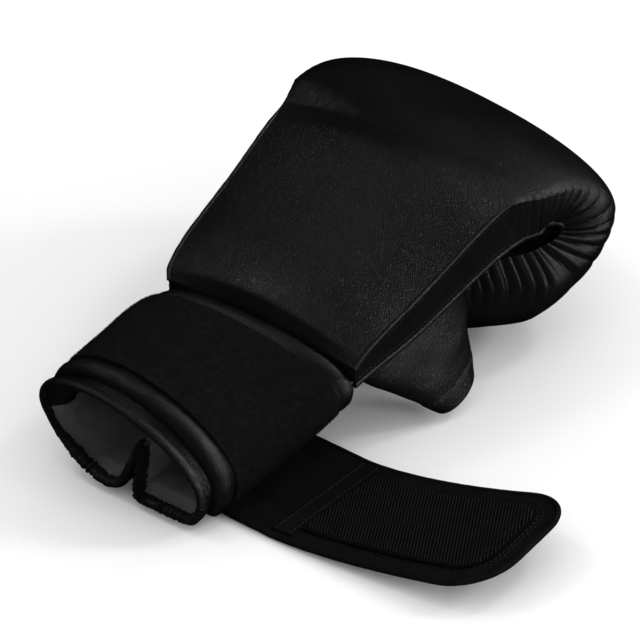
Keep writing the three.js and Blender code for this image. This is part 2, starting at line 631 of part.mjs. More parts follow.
glove.add(piece("back_pad", backPad(), materials.leather));
glove.add(piece("side_strip_thumb", sideStrip(1), materials.leather));
glove.add(piece("side_strip_outer", sideStrip(-1), materials.leather));
glove.add(piece("palm_seam_thumb", palmSeam(1), materials.leather));
glove.add(piece("palm_seam_outer", palmSeam(-1), materials.leather));
glove.add(piece("palm_panel", palmPanel(), materials.leather));
glove.add(piece("thumb_sleeve", thumbSleeve(), materials.leather));
glove.add(piece("cuff_pad", cuffPad(), materials.leather));
glove.add(piece("loop_patch", loopPatch(), materials.fabric));
glove.add(piece("cuff_rim", cuffRim(), materials.leather));
glove.add(piece("palm_gusset", palmGusset(), materials.leather));
glove.add(piece("cuff_lining", cuffLining(), materials.lining));
glove.add(piece("cuff_binding", cuffBinding(), materials.fabric));

const strap = new THREE.Group();
strap.position.set(STRAP_ROOT.x, STRAP_ROOT.y, 0);
strap.rotation.z = STRAP_TURN;
strap.add(piece("strap", strapSheet(0, 0, 0, STRAP_THICKNESS), materials.fabric));
strap.add(piece("strap_binding", strapBinding(), materials.fabric));
strap.add(piece("strap_tape", strapTape(), materials.fabric));
strap.add(piece("hook_patch", strapSheet(TAPE_END, STRAP_MARGIN,
  STRAP_THICKNESS + GAP, STRAP_THICKNESS + GAP + HOOK_PILE), materials.fabric));

const model = new THREE.Group();
model.add(glove, strap);

// The origin is under the middle of the whole, on the surface that it lies on.
model.updateMatrixWorld(true);
const box = new THREE.Box3().setFromObject(model, true);
const middle = box.getCenter(new THREE.Vector3());
model.position.set(-middle.x, -middle.y, -box.min.z);
model.updateMatrixWorld(true);

export default model;
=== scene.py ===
# %% [markdown]
# A padded bag glove, dressed for the camera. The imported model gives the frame: every piece of the
# real glove is there as a plain solid. This scene rebuilds each of them as a smooth, sewn piece in
# the same place, and gives it leather, satin, pile or webbing.

# %% Tools and the frame
import json
from math import asin, cos, degrees, pi, radians, sin, sqrt

import bpy
import numpy as np
from mathutils import Euler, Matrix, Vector, noise

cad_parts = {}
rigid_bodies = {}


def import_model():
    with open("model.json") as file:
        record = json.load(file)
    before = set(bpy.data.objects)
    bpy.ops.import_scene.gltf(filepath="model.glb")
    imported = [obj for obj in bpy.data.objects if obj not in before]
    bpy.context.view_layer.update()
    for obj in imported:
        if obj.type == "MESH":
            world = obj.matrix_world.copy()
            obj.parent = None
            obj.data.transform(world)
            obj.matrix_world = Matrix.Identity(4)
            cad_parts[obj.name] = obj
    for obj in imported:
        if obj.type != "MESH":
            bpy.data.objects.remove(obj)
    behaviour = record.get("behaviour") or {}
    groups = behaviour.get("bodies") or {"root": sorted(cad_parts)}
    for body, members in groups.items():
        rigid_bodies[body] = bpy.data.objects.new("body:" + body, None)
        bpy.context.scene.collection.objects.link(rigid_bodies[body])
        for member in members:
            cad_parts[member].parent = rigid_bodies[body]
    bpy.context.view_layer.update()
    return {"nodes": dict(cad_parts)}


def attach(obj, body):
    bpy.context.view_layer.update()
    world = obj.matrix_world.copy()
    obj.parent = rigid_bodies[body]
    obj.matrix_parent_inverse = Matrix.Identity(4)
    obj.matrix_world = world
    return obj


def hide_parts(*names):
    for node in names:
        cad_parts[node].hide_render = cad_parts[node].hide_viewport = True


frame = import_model()
MM = 0.001
print("nodes in the frame:", len(frame["nodes"]))

# %% [markdown]
# The same driving sizes as the solids have, in millimetres, so that every smooth piece lies where
# its solid lies. Only the grip slot's end, its tucked seam and the cuff's fold are drawn finer here.
# The glove is built along its own palm line and then laid down: fingers raised a little, thumb side
# lowered a little.

# %% Driving sizes of the glove body
WRIST_WIDTH = 118
THUMB_FLARE = 13
OUTER_FLARE = 28
PALM_LENGTH = 135
PALM_RISE = 13
RISE_START = 0.25
SLOT_HEIGHT = 19
ROLL_RETURN = 50
SLOT_TURN = radians(186)
SLOT_SHARPNESS = 1.7
END_REACH = 18
END_TUCK = 9
EDGE_PUFF = 6
SIDE_HEIGHT = 25
CROWN_HEIGHT = 13.5
KNUCKLE_CROWN = 9
FRONT_THICKNESS = 60
ROLL_THICKNESS = 59
BACK_PADDING = 17
EDGE_PADDING = 8
ROLL_SKEW = 0.13
DOME_FULLNESS = 0.88
STRIP_REACH = 0.88
STRIP_FADE = 0.06
LEATHER = 1.8
SEAM_RADIUS = 1.6
SEAM_CLEAR = 0.2
SEAM_INSET = 1.2
SEAM_TUCK = 5
PANEL_CLEAR = 2.2
PALM_SAG = 13
GAP = 0.3
LEAST_CAVITY = 0.35

# %% Places along the palm line where a change begins and ends
END_RUN = (1, 1.5)
END_FADE = (1.8, 2.6)
TUCK_RUN = (0.84, 1.3)
PUFF_RUN = (1.3, 1.8)
PUFF_FADE = (2.4, 2.8)
FRONT_RUN = (1.4, 1.8)

# %% Driving sizes of the thumb, cuff and strap
THUMB = {"start": 0.044, "end": 0.7, "hole": 15, "wall": 1.7, "hem": 8, "mouth": 30, "gape": 15,
         "drop": 44, "out": 10, "along": 15}
CUFF_LENGTH = 84
RIM_LENGTH = 3.5
CUFF_WIDTH = WRIST_WIDTH - 15
CUFF_HEIGHT = 51
MOUTH_SLANT = 3
SLANT_POWER = 3
CUFF_TILT = radians(14)
WRIST_GAP = 0.8
CUFF_PADDING = 3.6
CUFF_ROLL = 1.8
CUFF_ROLL_WIDTH = 11
RIM_LEATHER = 1.6
LINING = 1.1
LOOP_PILE = 1.5
FOLD_DEPTH = 43
FOLD_WIDTH = 12
FOLD_SHIFT = 0.2
BINDING_RADIUS = 2.3
STRAP_LENGTH = 205
STRAP_WIDTH = 71
STRAP_THICKNESS = 2.6
EDGE_RADIUS = 1.6
STRAP_CORNER = 23
STRAP_LIFT = 24
STRAP_SWAY = 15
STRAP_TURN = radians(-1)
STRAP_ROOT = (-25, -33)
STRAP_MARGIN = 8
TAPE_START = 88
TAPE_WIDTH = 12
TAPE_END = TAPE_START + TAPE_WIDTH
TAPE_THICKNESS = 0.9
HOOK_PILE = 1.2
FLOOR_CLEAR = 0.1

# %% How the glove lies
PITCH = radians(5.8)
LEAN = radians(2)
GLOVE_AT = np.array([-48.779, -55.097, 50.4])
turn = np.array(Euler((PITCH, LEAN, 0), "XYZ").to_matrix())
UP = turn[2]


def world(points):
    """Points of the glove's own frame, in millimetres, as points of the scene in metres."""
    return (np.asarray(points) @ turn.T + GLOVE_AT) * MM


def unit(vectors):
    """Each row of an array as a direction of length 1."""
    return vectors / np.linalg.norm(vectors, axis=1)[:, None]


def settle(points, height):
    """Leather that would lie lower than a height above the surface goes flat there."""
    points = np.asarray(points, float)
    above = points @ UP + GLOVE_AT[2] - height
    return points + np.maximum(-above, 0)[:, None] * UP


# %% [markdown]
# Every soft piece of this glove is a sheet or a pad between an outer and an inner face. So one
# helper turns two grids of points into a closed mesh, and another runs a round cord along a line.
# Arrays of points go straight into a mesh: it is quick, and the grain comes later from the material.

# %% Meshes from grids
def body(name, points, faces, sharp=50):
    """A piece of the glove from points in metres, smooth except where it bends sharply."""
    mesh = bpy.data.meshes.new(name)
    mesh.from_pydata([tuple(p) for p in points], [], [tuple(f) for f in faces])
    mesh.update()
    corners = np.array([mesh.vertices[face.vertices[0]].co for face in mesh.polygons])
    weight = np.array([face.area for face in mesh.polygons])
    normals = np.array([face.normal for face in mesh.polygons])
    if (np.einsum("ij,ij->i", corners, normals) * weight).sum() < 0:
        mesh.flip_normals()
    mesh.shade_smooth()
    mesh.set_sharp_from_angle(angle=radians(sharp))
    piece = bpy.data.objects.new(name, mesh)
    bpy.context.scene.collection.objects.link(piece)
    return piece


def shell(name, outer, inner, ring=False, sharp=50):
    """A closed piece between two grids of points with rows and columns alike."""
    outer, inner = np.asarray(outer), np.asarray(inner)
    rows, columns = outer.shape[:2]
    points = np.concatenate([outer.reshape(-1, 3), inner.reshape(-1, 3)])
    layer = rows * columns
    last = columns if ring else columns - 1
    faces = []
    for i in range(rows - 1):
        for j in range(last):
            a, b = i * columns + j, i * columns + (j + 1) % columns
            faces.append((a, b, b + columns, a + columns))
            faces.append((layer + a, layer + a + columns, layer + b + columns, layer + b))
    for j in range(last):
        a, b = j, (j + 1) % columns
        faces.append((a, layer + a, layer + b, b))
        a, b = a + layer - columns, b + layer - columns
        faces.append((a, b, layer + b, layer + a))
    for i in range(0 if ring else rows - 1):
        a, b = i * columns, (i + 1) * columns
        faces.append((a, b, layer + b, layer + a))
        a, b = a + columns - 1, b + columns - 1
        faces.append((a, layer + a, layer + b, b))
    return body(name, points, faces, sharp)


def cord(name, centres, radius, across, closed=False, sides=12, squash=1.0):
    """A round or flattened cord through a run of centres. radius may be a list, one for each centre."""
    centres = np.asarray(centres, float)
    count = len(centres)
    radius = np.broadcast_to(np.asarray(radius, float), (count,))
    if closed:
        along = np.roll(centres, -1, 0) - np.roll(centres, 1, 0)
    else:
        along = np.gradient(centres, axis=0)
    along = unit(along)
    side = unit(np.cross(along, across))
    top = np.cross(side, along)
    angle = np.arange(sides) * 2 * pi / sides
    ring = side[:, None] * np.cos(angle)[:, None] + squash * top[:, None] * np.sin(angle)[:, None]
    points = centres[:, None] + ring * radius[:, None, None]
    faces = []
    for k in range(count if closed else count - 1):
        for j in range(sides):
            a, b = k * sides + j, k * sides + (j + 1) % sides
            c, d = (a + sides) % (count * sides), (b + sides) % (count * sides)
            faces.append((a, b, d, c))
    if not closed:
        faces += [tuple(range(sides))[::-1], tuple(range((count - 1) * sides, count * sides))]
    return body(name, points.reshape(-1, 3), faces)


# %% [markdown]
# One helper joins a piece to the glove's body and hides the solid that it replaces.

# %% Joining a piece to the glove
def join(piece, node=None):
    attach(piece, "root")
    if node:
        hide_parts(node)
    return piece


# %% [markdown]
# A sewn form changes smoothly along its length. Its sections are rows of a small table, and the
# values between the rows follow a curve that never overshoots, so a pad can't bulge where no row
# says so.

# %% Smooth tables
def profile(heads, rows):
    """Smooth values between the rows of a table. heads names its columns, the first of them the place."""
    names = heads.split()[1:]
    at, *values = zip(*rows)
    columns = dict(zip(names, values))

    def slopes(values):
        rises = [(values[k + 1] - values[k]) / (at[k + 1] - at[k]) for k in range(len(rows) - 1)]
        pairs = [(rises[max(k - 1, 0)], rises[min(k, len(rises) - 1)]) for k in range(len(rows))]
        return [2 * a * b / (a + b) if a * b > 0 else 0 for a, b in pairs]

    tangents = {name: slopes(columns[name]) for name in names}

    def look_up(u):
        k = min(max(sum(u > value for value in at) - 1, 0), len(rows) - 2)
        span = at[k + 1] - at[k]
        t = min(max((u - at[k]) / span, 0), 1)
        out = {}
        for name in names:
            v, m = columns[name], tangents[name]
            out[name] = (v[k] * (1 + 2 * t) * (1 - t) ** 2 + v[k + 1] * t * t * (3 - 2 * t)
                         + span * t * (1 - t) * (m[k] * (1 - t) - m[k + 1] * t))
        return out

    return look_up


def ease(value, low, high):
    """0 below low, 1 above high, and a smooth rise between."""
    t = np.clip((value - low) / (high - low), 0, 1)
    return t * t * (3 - 2 * t)


def mix(a, b, share):
    return a + (b - a) * share


def wander(seed, *place):
    """Smooth noise between -1 and 1, the same on every run."""
    place = (list(place) + [0, 0])[:2]
    return noise.noise(Vector((place[0], place[1], seed * 7.31)))


# %% [markdown]
# The glove's body follows the palm line: straight under the palm, round the end of the grip slot
# and back along the finger roll. The pad is drawn square to that line, so the same few heights make
# the back, the knuckles and the roll.

# %% The palm line and the body's sections
def beyond_end(u):
    """How much farther the slot's pointed end reaches than a round one would."""
    return (END_REACH - SLOT_HEIGHT / 2) * sin(SLOT_TURN * min(max(u - 1, 0), 1)) * ease(u, *END_RUN)


def palm_line(u):
    angle = SLOT_TURN * min(max(u - 1, 0), 1)
    back = max(u - 2, 0) * ROLL_RETURN
    y = PALM_LENGTH * min(u, 1) + SLOT_HEIGHT / 2 * sin(angle) + beyond_end(u) + back * cos(angle)
    drop = SLOT_HEIGHT * ((1 - cos(angle)) / 2) ** SLOT_SHARPNESS
    z = PALM_RISE * ease(u, RISE_START, 1) - drop - back * sin(angle)
    return y, z, sin(angle), cos(angle)


def along_palm(u, x, height):
    y, z, ny, nz = palm_line(u)
    return (x, y + height * ny, z + height * nz)


body_table = profile("at thumb outer taper wall crown soft gather", [
    (0, 0, 0, 1, 0.36, 0.42, 0, 0),
    (0.038, 0, 0.14, 1, 0.47, 0.8, 0, 0),
    (0.27, 0.06, 0.38, 1, 0.74, 1, 0, 0),
    (0.55, 0.2, 0.52, 1, 0.9, 1, 0, 0),
    (0.8, 0.4, 0.66, 1, 1, 1, 0, 0),
    (0.88, 0.52, 0.74, 1, 1, 1, 0, 0),
    (0.95, 0.72, 0.82, 1, 0.98, 1, 0.7, 0.6),
    (1, 1, 0.9, 1, 0.95, 1, 1, 1),
    (1.25, 1.55, 0.98, 1, 0.86, 0.98, 1, 1),
    (1.5, 2.3, 0.95, 1, 0.8, 1.2, 1, 1),
    (2, 1.6, 0.85, 1, 0.5, 1.5, 1, 1),
    (2.4, 0.6, 0.5, 0.95, 0.42, 1.48, 1, 1),
    (2.75, 0, 0.2, 0.87, 0.3, 1.24, 1, 0.7),
    (2.93, 0, 0, 0.8, 0.2, 0.62, 1, 0.3),
    (3, 0, 0, 0.74, 0.1, 0.14, 1, 0),
])
body_heights = profile("at wall crown", [
    (0.8, SIDE_HEIGHT, CROWN_HEIGHT),
    (1, SIDE_HEIGHT, KNUCKLE_CROWN),
    (1.5, FRONT_THICKNESS / 2, FRONT_THICKNESS / 2),
    (1.85, ROLL_THICKNESS / 2, ROLL_THICKNESS / 2),
])


def section_at(u):
    """Both side faces and the heights of the body at one place along the palm line."""
    row, heights = body_table(u), body_heights(u)
    thumb = (WRIST_WIDTH / 2 + THUMB_FLARE * row["thumb"]) * row["taper"]
    outer = (WRIST_WIDTH / 2 + OUTER_FLARE * row["outer"]) * row["taper"]
    row["strip"] = 1 - ease(u, STRIP_REACH, STRIP_REACH + STRIP_FADE)
    keep = 1 - beyond_end(u) / (row["wall"] * heights["wall"] + row["crown"] * heights["crown"])
    row["wall"] *= heights["wall"] * keep
    row["crown"] *= heights["crown"] * keep
    row["tuck"] = SEAM_TUCK * ease(u, *TUCK_RUN) + END_TUCK * ease(u, *END_RUN) * (1 - ease(u, *END_FADE))
    row["puff"] = EDGE_PUFF * ease(u, *PUFF_RUN) * (1 - ease(u, *PUFF_FADE))
    return row | {"middle": (thumb - outer) / 2, "half": (thumb + outer) / 2}


print("front height of the body:", round(section_at(1.5)["wall"] + section_at(1.5)["crown"], 1), "mm")

# %% [markdown]
# The back pad is one thick foam panel under leather. At the roll's two ends the leather is
# gathered into pleats that fan out from the grip slot. They are modelled, not painted, because
# each one catches its own line of light: a sharp valley, a round back, and a depth that fades
# towards the front. Noise moves their places and depths, as a sewing hand does.

# %% The padded back with its gathered ends
PLEAT_PLACES = [STRIP_REACH, 1.0, 1.3, 1.75, 2.75, 3]
PLEAT_COUNTS = [0, 4, 10, 16, 25, 27]
PLEAT_DEPTH = 0.5
PLEAT_WINDOW = 0.15
WALL_ROWS = 10
DOME_ROWS = 28


def pleat(u, reach, side):
    """How far a pleat stands in or out at a place: reach is 0 at the seam and 1 at the dome's top."""
    before, count, after = np.interp([u - PLEAT_WINDOW, u, u + PLEAT_WINDOW], PLEAT_PLACES, PLEAT_COUNTS)
    pitch = 16 / max(after - before, 1)
    phase = count + 0.5 * reach * sin(5 * u + side) + 0.3 * wander(3 + side, count * 0.6, reach * 1.2)
    valley = abs(sin(pi * phase)) ** 0.7
    depth = 0.6 + 0.9 * abs(wander(9 + side, count * 0.9))
    crease = 0.16 * wander(13 + side, count * 4.5, reach * 1.5)
    return PLEAT_DEPTH * (1 + pitch) * (depth * (1.4 * valley - 1) + crease)


def pad_half(u, section, side, fine):
    """Half of the pad's outline at one place, from the seam over the side to the middle line."""
    inset = (LEATHER + GAP) * section["strip"]
    rows = []
    for share in np.linspace(0, 1, WALL_ROWS):
        out = section["half"] - inset - section["tuck"] * (1 - share) ** 2
        up = mix(SEAM_CLEAR, section["wall"], share) - section["puff"] * (1 - share) ** 2.5 * fine
        if fine and section["gather"] > 0:
            fold = section["gather"] * pleat(u, share * 0.45, side)
            out += fold * (0.6 + 0.4 * sin(pi * share)) * (1 - 0.5 * share * (1 - ease(u, *FRONT_RUN)))
            up -= 0.5 * fold * (1 - share) ** 2
        rows.append((out, up))
    for share in np.linspace(0, 1, DOME_ROWS):
        angle = share * pi / 2
        rise = mix(sin(angle) ** 2, sin(angle) ** DOME_FULLNESS, section["soft"])
        out = section["half"] * cos(angle) ** mix(1, DOME_FULLNESS, section["soft"])
        up = section["wall"] + 0.01 + section["crown"] * rise
        if fine and section["gather"] > 0:
            fade = max(1 - share / mix(0.24, 0.32, ease(u, 1.2, 1.8)), 0) ** 1.2
            fade = fade * mix(0.3, 0.65, ease(u, *FRONT_RUN)) * section["gather"]
            fold = pleat(u, 0.45 + share * 0.5, side) * fade
            out += fold * cos(angle)
            up += fold * sin(angle) * 0.8
        rows.append((out, up))
    return rows


def pad_ring(u, fine):
    section = section_at(u)
    lean = ROLL_SKEW * section["soft"] / section["half"]
    halves = [pad_half(u, section, side, fine) for side in (0, 1)]
    if not fine:
        height = section["wall"] + section["crown"]
        cavity = max(height - BACK_PADDING, LEAST_CAVITY * height, 1) / height
        narrow = (section["half"] - EDGE_PADDING) / section["half"]
        halves = [[(min(out, section["half"]) * narrow, max(up * cavity, SEAM_CLEAR)) for out, up in half]
                  for half in halves]
    thumb = [along_palm(u, section["middle"] + out, up * (1 - lean * out)) for out, up in halves[0]]
    outer = [along_palm(u, section["middle"] - out, up * (1 + lean * out)) for out, up in halves[1]]
    ring = np.array(thumb + outer[-2::-1])
    return world(settle(ring, 0) if fine else ring)


pad_stations = np.concatenate([[0, 0.006, 0.012, 0.02, 0.028, 0.035], np.linspace(0.045, STRIP_REACH, 60),
                               np.linspace(STRIP_REACH + 0.004, 1.35, 130), np.linspace(1.36, 3, 210)])
back_leather = shell("back_leather", [pad_ring(u, True) for u in pad_stations],
                     [pad_ring(u, False) for u in pad_stations], sharp=42)
join(back_leather, "back_pad")
print("back pad faces:", len(back_leather.data.polygons))

# %% [markdown]
# A flat strip of leather closes each side of the pad. Its upper edge is the ridge seam, where both
# leathers are turned in: the fold stands proud as a fine roll, which draws the bright line that
# runs from the wrist to the knuckles.

# %% Side strips and ridge seams
RIDGE_RADIUS = 1.2
STRIP_SLANT = 0.045
STRIP_STATIONS = 80
STRIP_ROWS = 14


def side_strip(side, name, node):
    def face(depth):
        rows = []
        for part in np.linspace(0, 1, STRIP_STATIONS):
            row = []
            for share in np.linspace(0, 1, STRIP_ROWS):
                u = part * (STRIP_REACH + STRIP_SLANT * (1 - 2 * share))
                section = section_at(u)
                buckle = 0.25 * wander(20 + side, u * 26, share * 2) * sin(pi * share) * (depth == 0)
                x = section["middle"] + side * (section["half"] - depth + buckle)
                row.append(along_palm(u, x, mix(SEAM_CLEAR, section["wall"] - GAP, share)))
            rows.append(world(row))
        return rows

    return join(shell(name, face(0), face(LEATHER)), node)


def side_line(side, out, run, rise):
    """A line on a side strip, moved out from it. rise gives the height at a section and a count."""
    points = []
    for k, u in enumerate(run):
        section = section_at(u)
        x = section["middle"] + side * (section["half"] + out)
        points.append(along_palm(u, x, rise(section, k)))
    return world(points)


strips = [side_strip(1, "strip_thumb_leather", "side_strip_thumb"),
          side_strip(-1, "strip_outer_leather", "side_strip_outer")]
ridges = []
for side, name in ((1, "ridge_seam_thumb"), (-1, "ridge_seam_outer")):
    line = side_line(side, -0.35, np.linspace(0, STRIP_REACH, 120), lambda section, k: section["wall"] + 0.1)
    swell = [RIDGE_RADIUS * MM * (1 + 0.12 * wander(31, k * 0.3)) * (1 - 0.8 * ease(k, 104, 119))
             for k in range(len(line))]
    ridges.append(join(cord(name, line, swell, (1, 0, 0.4), sides=10)))
print("ridge seams:", len(ridges))

# %% [markdown]
# The palm seam is bound: a narrow strip of leather is folded round the raw edges and sewn. It runs
# along the palm, round the end of the slot and back along the roll. A cord with a slight ripple
# stands for the fold, and thread follows it.

# %% Palm seams
def palm_edge(u, side):
    section = section_at(u)
    across = section["half"] - SEAM_INSET - section["tuck"]
    return along_palm(u, section["middle"] + side * across, -SEAM_RADIUS - GAP)


palm_run = np.concatenate([np.linspace(0.004, 1, 150), np.linspace(1.01, 2, 90), np.linspace(2.02, 2.97, 60)])
palm_bindings = []
for side, name, node in ((1, "palm_binding_thumb", "palm_seam_thumb"),
                         (-1, "palm_binding_outer", "palm_seam_outer")):
    centres = world([palm_edge(u, side) for u in palm_run])
    ripple = [SEAM_RADIUS * MM * (1 - 0.6 * ease(u, 1.3, 1.9)) * (1 + 0.05 * wander(35, u * 40))
              for u in palm_run]
    palm_bindings.append(join(cord(name, centres, ripple, (1, 0, 0), sides=14), node))
print("palm seam length:", round(float(np.linalg.norm(np.diff(centres, axis=0), axis=1).sum()) * 1000), "mm")

# %% [markdown]
# The palm panel is a single sheet of leather between the two bound seams. It sags at the wrist,
# and it is cut away round the thumb hole. Shallow creases across it come from gripping.

# %% Palm panel
def thumb_bump(u):
    share = (u - THUMB["start"]) / (THUMB["end"] - THUMB["start"])
    return sqrt(sin(pi * share)) if 0 < share < 1 else 0


def palm_sag(u, reach):
    return PALM_SAG * (1 - ease(u, 0, 0.6)) * (1 - reach ** 2) ** 2


def palm_face(depth):
    rows = []
    for u in palm_run:
        section = section_at(u)
        edge = section["half"] - SEAM_INSET - SEAM_RADIUS - PANEL_CLEAR - section["tuck"]
        row = []
        for reach in np.linspace(-1, 1, 60):
            room = edge - THUMB["hole"] * thumb_bump(u) if reach > 0 else edge
            crease = 0.5 * wander(41, u * 30, reach * 3) * (1 - reach ** 2)
            x = section["middle"] + reach * room
            row.append(along_palm(u, x, -GAP - depth - palm_sag(u, reach * room / edge) - abs(crease)))
        rows.append(world(row))
    return rows


palm = join(shell("palm_leather", palm_face(0), palm_face(LEATHER)), "palm_panel")
print("palm panel faces:", len(palm.data.polygons))

# %% [markdown]
# The thumb sleeve is a short leather tube, open at its end, with a stitched hem. It grows out of
# the thumb hole and flattens towards its mouth, and soft dents run down it.

# %% Thumb sleeve
THUMB_SIDES = 72
THUMB_LONG = np.array(Vector((-0.09, 0.95, 0.3)).normalized())
THUMB_WIDE = np.array(Vector((0.96, 0.09, 0)).normalized())
HEM_SHARE = 1 - THUMB["hem"] / THUMB["drop"]


def thumb_ring(share, depth):
    """A ring of the sleeve at a depth in its wall: share is 0 at the thumb hole and 1 at the mouth."""
    start, end = THUMB["start"] * PALM_LENGTH, THUMB["end"] * PALM_LENGTH
    middle = section_at((THUMB["start"] + THUMB["end"]) / 2)
    wide = THUMB["hole"] / 2 + THUMB["wall"]
    edge = middle["middle"] + middle["half"] - SEAM_RADIUS
    root = np.array([edge - wide, (start + end) / 2, -2 * SEAM_RADIUS - 2 * GAP])
    mouth = np.array([edge + THUMB["out"], (start + end) / 2 + THUMB["along"], -THUMB["drop"]])
    hem = 0.5 * ease(share, HEM_SHARE - 0.02, HEM_SHARE + 0.02)
    grow = -depth if depth > 0 else hem
    ring = []
    for k in range(THUMB_SIDES):
        along, across = sin(2 * pi * k / THUMB_SIDES), cos(2 * pi * k / THUMB_SIDES)
        dent = 1.5 * wander(51, k * 6 / THUMB_SIDES + share, share * 3) * sin(pi * share)
        at = root + np.array([across * (wide + grow), along * ((end - start) / 2 + grow), 0])
        here = section_at(at[1] / PALM_LENGTH)
        at[0] += here["middle"] + here["half"] - middle["middle"] - middle["half"]
        sag = palm_sag(at[1] / PALM_LENGTH, (at[0] - here["middle"]) / here["half"])
        low = min(at[2] + max(across, 0) * SEAM_RADIUS, -3 * GAP - LEATHER - sag)
        at[2] = palm_line(at[1] / PALM_LENGTH)[1] + low
        to = (mouth + THUMB_LONG * along * (THUMB["mouth"] / 2 + grow)
              + THUMB_WIDE * across * (THUMB["gape"] / 2 + grow))
        outwards = THUMB_WIDE * across + THUMB_LONG * along
        ring.append(mix(at, to, share) + outwards * dent)
    return world(settle(ring, 0.2 + depth))


thumb_stations = np.linspace(0, 1, 46)
thumb = shell("thumb_leather", [thumb_ring(s, 0) for s in thumb_stations],
              [thumb_ring(s, THUMB["wall"]) for s in thumb_stations], ring=True)
join(thumb, "thumb_sleeve")
print("thumb sleeve lowest point:", round(min(v.co.z for v in thumb.data.vertices) * 1000, 1), "mm")

# %% [markdown]
# The cuff is a set of layers round one hollow, from the inside out: satin lining, a thin leather
# sleeve with a gathered binding at its mouth, the padded cuff, and the pile that the strap's hooks
# grip. All of them are the same oval with an inward fold at the palm side, drawn at different
# distances, so no layer cuts another.

# %% The cuff's outline
cuff_section = profile("at shift sink wide up down tilt fold", [
    (0, 0.01, 0.06, 1.05, 0.46, 0.5, 0, 0.15),
    (0.2, -0.08, 0.1, 1.08, 0.6, 0.62, 0.2, 0.35),
    (0.6, -0.15, 0.2, 1, 0.85, 0.85, 0.65, 0.7),
    (0.97, -0.21, 0.28, 0.95, 1.04, 0.96, 1, 0.95),
    (1.06, -0.26, 0.29, 1.01, 1.05, 0.97, 1, 1),
])
ARC = 120
LEG = 26
FOLD_ROUNDING = 40


def cuff_outline(at):
    """The hollow's outline: fold's top, down the thumb-side leg, over the back and up the other leg."""
    row = cuff_section(at)
    half = CUFF_WIDTH / 2 * row["wide"]
    up, down = CUFF_HEIGHT / 2 * row["up"], CUFF_HEIGHT / 2 * row["down"]
    fold_wide = FOLD_WIDTH / 2 * sqrt(row["fold"])

    def place(angle):
        return np.array([half * cos(angle), (up if sin(angle) > 0 else down) * sin(angle)])

    def foot(side):
        return -pi / 2 + FOLD_SHIFT + side * asin(fold_wide / half)

    top = place(foot(0)) + np.array([0, FOLD_DEPTH * row["fold"]])
    shares = np.linspace(0, 1, LEG + 1)[1:-1]
    right = [mix(top, place(foot(1)), s) for s in shares]
    left = [mix(top, place(foot(-1)), s) for s in shares]
    arc = [place(a) for a in np.linspace(foot(1), foot(-1) + 2 * pi, ARC + 1)]
    outline = np.array([top, *right, *arc, *left[::-1]])
    for _ in range(FOLD_ROUNDING):
        outline = (np.roll(outline, 1, 0) + 2 * outline + np.roll(outline, -1, 0)) / 4
    tilt = -CUFF_TILT * row["tilt"]
    spin = np.array([[cos(tilt), sin(tilt)], [-sin(tilt), cos(tilt)]])
    return outline @ spin + np.array([CUFF_WIDTH / 2 * row["shift"], -CUFF_HEIGHT * row["sink"]])


def outset(outline, distance):
    """Moves a closed outline outwards, square to its sides."""
    after = unit(np.roll(outline, -1, 0) - outline)
    before = np.roll(after, 1, 0)
    normal = unit(np.stack([before[:, 1] + after[:, 1], -before[:, 0] - after[:, 0]], 1))
    square = np.maximum((normal * np.stack([before[:, 1], -before[:, 0]], 1)).sum(1), 0.5)
    return outline + normal * (distance / square)[:, None]


RIM_OUT = GAP + RIM_LEATHER
PAD_IN = RIM_OUT + GAP
PAD_OUT = PAD_IN + CUFF_PADDING + CUFF_ROLL
STRAP_TOP = 2 * EDGE_RADIUS + GAP


def cuff_ring(at, distance):
    """A ring of the cuff at a distance outside the hollow, flat where it lies on the strap."""
    height = mix(STRAP_TOP + PAD_OUT - distance, BINDING_RADIUS + RIM_OUT - distance, ease(at, 1, 1.1))
    outline = outset(cuff_outline(at), distance)
    middle = -CUFF_HEIGHT * cuff_section(at)["sink"]
    low = np.maximum(middle - outline[:, 1], 0) / (CUFF_HEIGHT / 2)
    along = -WRIST_GAP - at * CUFF_LENGTH - MOUTH_SLANT * low * at ** SLANT_POWER
    return settle(np.stack([outline[:, 0], along, outline[:, 1]], 1), height)


print("points round the cuff:", len(cuff_outline(0.5)))

# %% The cuff's leather, lining, pile and binding
END_ROLL = CUFF_ROLL_WIDTH / CUFF_LENGTH
FIRST = LEG
LAST = LEG + ARC
RIM_END = 1 + RIM_LENGTH / CUFF_LENGTH


def pad_thickness(at):
    """Outer face of the padded cuff over its inner face: round rolls at both ends, flat between."""
    edge = min(at, 1 - at) / END_ROLL
    if edge >= 1:
        return CUFF_PADDING
    roll = sqrt(max(1 - (2 * edge - 1) ** 2, 0)) if edge < 0.5 else 1 - ease(edge, 0.55, 1)
    return max(CUFF_PADDING * ease(edge, -0.6, 0.4), 0.4) + CUFF_ROLL * roll


cuff_stations = np.concatenate([END_ROLL * (1 - np.cos(np.linspace(0, pi / 2, 14))),
                                np.linspace(0.15, 0.85, 22),
                                1 - END_ROLL * (1 - np.cos(np.linspace(pi / 2, 0, 14)))])


def pucker(at, ring):
    """The rolled edges are drawn in a little by their thread, at uneven places."""
    if min(at, 1 - at) / END_ROLL > 1.6:
        return 0
    return np.array([[0.35 * wander(71, k * 0.35, at * 20)] for k in range(len(ring))])


def wrinkle(at, count):
    """Wrinkles of the lining: fine ones that run in from the mouth, and slow ones across them."""
    near = ease(at, 0.6, 1)
    return np.array([1.1 * near * wander(65, k * 0.42, at * 3) + 0.6 * wander(66, k * 0.08, at * 14)
                     for k in range(count)])


def cuff_layer(stations, distance, columns=slice(None), bumpy=False, wrinkled=False):
    rows = []
    for at in stations:
        out = distance(at) if callable(distance) else distance
        if wrinkled:
            out = out - np.abs(wrinkle(at, len(cuff_outline(at))))
        ring = cuff_ring(at, out)[columns]
        if bumpy:
            ring = ring + unit(ring - ring.mean(0)) * pucker(at, ring)
        rows.append(world(ring))
    return rows


